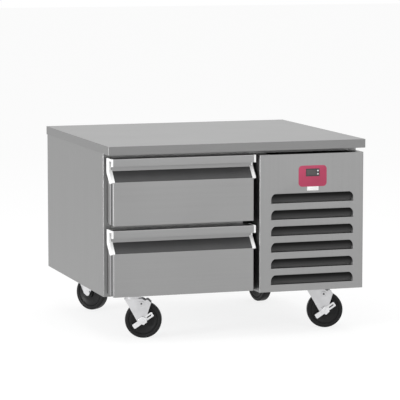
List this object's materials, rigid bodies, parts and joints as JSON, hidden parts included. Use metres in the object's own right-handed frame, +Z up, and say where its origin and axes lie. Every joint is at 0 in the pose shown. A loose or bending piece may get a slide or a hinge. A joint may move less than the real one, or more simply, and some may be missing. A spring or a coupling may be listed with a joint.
{
  "type": "refrigerated drawer base",
  "caption": "Low stainless refrigerated cabinet on swivel casters, with telescopic drawers beside a louvred machine compartment and a flat worktop.",
  "frame": {"origin": "on the floor, under the middle of the worktop", "axes": "+Z up; -Y is the front, where the drawers open; +X to the right, to the machine side"},
  "size_m": [0.927, 0.838, 0.678],
  "materials": {
    "stainless": "brushed stainless sheet",
    "liner_steel": "satin stainless sheet",
    "galvanised": "galvanised sheet",
    "foam": "rigid insulating foam",
    "core_break": "dark thermal break over foam",
    "grip_black": "satin dark moulding",
    "cap_grey": "light smooth moulding",
    "gasket_grey": "soft grey seal",
    "acetal": "natural acetal",
    "crimson": "crimson satin plate",
    "controller_black": "dark moulding",
    "button_rubber": "soft key",
    "compressor_black": "satin black paint",
    "fin_aluminium": "bare fins",
    "fan_black": "dark moulding",
    "motor_grey": "grey paint",
    "copper": "drawn copper tube",
    "pan_plastic": "black moulding",
    "gland_black": "black nylon",
    "zinc": "bright zinc plate",
    "wheel_rubber": "black tread and centre"
  },
  "bodies": {
    "cabinet": {"worktop": "stainless", "left_side_panel": "stainless", "right_side_panel": "stainless", "back_panel": "galvanised", "bottom_panel": "galvanised", "front_frame": "stainless", "cabinet_foam": "foam", "inner_liner": "liner_steel", "cabinet_rails": "liner_steel", "machine_cover": "stainless", "control_plate": "crimson", "temperature_controller": "controller_black", "compressor": "compressor_black", "condenser_coil": "fin_aluminium", "fan_shroud": "galvanised", "condenser_motor": "motor_grey", "refrigerant_lines": "copper", "evaporator_coil": "fin_aluminium", "evaporator_housing": "liner_steel", "evaporator_motor": "motor_grey", "condensate_pan": "pan_plastic", "cord_gland": "gland_black", "caster_plates": "zinc", "caster_bolts": "zinc"},
    "condenser_fan": {"condenser_fan": "fan_black"},
    "evaporator_fan": {"evaporator_fan": "fan_black"},
    "button_upper": {"button_upper": "button_rubber"},
    "button_lower": {"button_lower": "button_rubber"},
    "upper_drawer": {"upper_outer_skin": "stainless", "upper_grip_strip": "grip_black", "upper_end_caps": "cap_grey", "upper_core": "core_break", "upper_rear_pan": "stainless", "upper_gasket": "gasket_grey", "upper_pan_frame": "liner_steel"},
    "upper_middle_slides": {"upper_middle_rails": "liner_steel", "upper_slide_blocks": "acetal"},
    "lower_drawer": {"lower_outer_skin": "stainless", "lower_grip_strip": "grip_black", "lower_end_caps": "cap_grey", "lower_core": "core_break", "lower_rear_pan": "stainless", "lower_gasket": "gasket_grey", "lower_pan_frame": "liner_steel"},
    "lower_middle_slides": {"lower_middle_rails": "liner_steel", "lower_slide_blocks": "acetal"},
    "caster_front_left": {"caster_fork_front_left": "zinc", "caster_axle_front_left": "zinc"},
    "wheel_front_left": {"caster_wheel_front_left": "wheel_rubber"},
    "brake_front_left": {"brake_lever_front_left": "zinc"},
    "caster_front_right": {"caster_fork_front_right": "zinc", "caster_axle_front_right": "zinc"},
    "wheel_front_right": {"caster_wheel_front_right": "wheel_rubber"},
    "brake_front_right": {"brake_lever_front_right": "zinc"},
    "caster_rear_left": {"caster_fork_rear_left": "zinc", "caster_axle_rear_left": "zinc"},
    "wheel_rear_left": {"caster_wheel_rear_left": "wheel_rubber"},
    "caster_rear_right": {"caster_fork_rear_right": "zinc", "caster_axle_rear_right": "zinc"},
    "wheel_rear_right": {"caster_wheel_rear_right": "wheel_rubber"}
  },
  "joints": [
    {"name": "upper_drawer_slide", "type": "slide", "parent": "cabinet", "child": "upper_drawer", "axis": [0, -1, 0], "range_m": [0, 0.56]},
    {"name": "upper_middle_slide", "type": "slide", "parent": "cabinet", "child": "upper_middle_slides", "axis": [0, -1, 0], "range_m": [0, 0.28]},
    {"name": "lower_drawer_slide", "type": "slide", "parent": "cabinet", "child": "lower_drawer", "axis": [0, -1, 0], "range_m": [0, 0.56]},
    {"name": "lower_middle_slide", "type": "slide", "parent": "cabinet", "child": "lower_middle_slides", "axis": [0, -1, 0], "range_m": [0, 0.28]},
    {"name": "swivel_front_left", "type": "hinge", "parent": "cabinet", "child": "caster_front_left", "pos_m": [-0.337, -0.274, 0.157], "axis": [0, 0, 1], "continuous": true},
    {"name": "wheel_spin_front_left", "type": "hinge", "parent": "caster_front_left", "child": "wheel_front_left", "pos_m": [-0.30317, -0.28631, 0.0635], "axis": [0.342, 0.9397, 0], "continuous": true},
    {"name": "brake_lever_front_left", "type": "hinge", "parent": "caster_front_left", "child": "brake_front_left", "pos_m": [-0.30317, -0.28631, 0.0635], "axis": [0.342, 0.9397, 0], "range_deg": [0, 25]},
    {"name": "swivel_front_right", "type": "hinge", "parent": "cabinet", "child": "caster_front_right", "pos_m": [0.3325, -0.274, 0.157], "axis": [0, 0, 1], "continuous": true},
    {"name": "wheel_spin_front_right", "type": "hinge", "parent": "caster_front_right", "child": "wheel_front_right", "pos_m": [0.36727, -0.28332, 0.0635], "axis": [0.2588, 0.9659, 0], "continuous": true},
    {"name": "brake_lever_front_right", "type": "hinge", "parent": "caster_front_right", "child": "brake_front_right", "pos_m": [0.36727, -0.28332, 0.0635], "axis": [0.2588, 0.9659, 0], "range_deg": [0, 25]},
    {"name": "swivel_rear_left", "type": "hinge", "parent": "cabinet", "child": "caster_rear_left", "pos_m": [-0.337, 0.362, 0.157], "axis": [0, 0, 1], "continuous": true},
    {"name": "wheel_spin_rear_left", "type": "hinge", "parent": "caster_rear_left", "child": "wheel_rear_left", "pos_m": [-0.31533, 0.33325, 0.0635], "axis": [0.7986, 0.6018, 0], "continuous": true},
    {"name": "swivel_rear_right", "type": "hinge", "parent": "cabinet", "child": "caster_rear_right", "pos_m": [0.3325, 0.362, 0.157], "axis": [0, 0, 1], "continuous": true},
    {"name": "wheel_spin_rear_right", "type": "hinge", "parent": "caster_rear_right", "child": "wheel_rear_right", "pos_m": [0.33998, 0.32679, 0.0635], "axis": [0.9781, 0.2079, 0], "continuous": true},
    {"name": "button_upper_press", "type": "slide", "parent": "cabinet", "child": "button_upper", "axis": [0, 1, 0], "range_m": [0, 0.0005], "stiffness_N_per_m": 400},
    {"name": "button_lower_press", "type": "slide", "parent": "cabinet", "child": "button_lower", "axis": [0, 1, 0], "range_m": [0, 0.0005], "stiffness_N_per_m": 400},
    {"name": "condenser_fan_spin", "type": "hinge", "parent": "cabinet", "child": "condenser_fan", "pos_m": [0.264, -0.339, 0.348], "axis": [0, 1, 0], "continuous": true},
    {"name": "evaporator_fan_spin", "type": "hinge", "parent": "cabinet", "child": "evaporator_fan", "pos_m": [-0.196, 0.416, 0.4005], "axis": [0, 1, 0], "continuous": true}
  ],
  "couplings": [
    {"joint": "upper_middle_slide", "follows": "upper_drawer_slide", "ratio": 0.5},
    {"joint": "lower_middle_slide", "follows": "lower_drawer_slide", "ratio": 0.5}
  ]
}
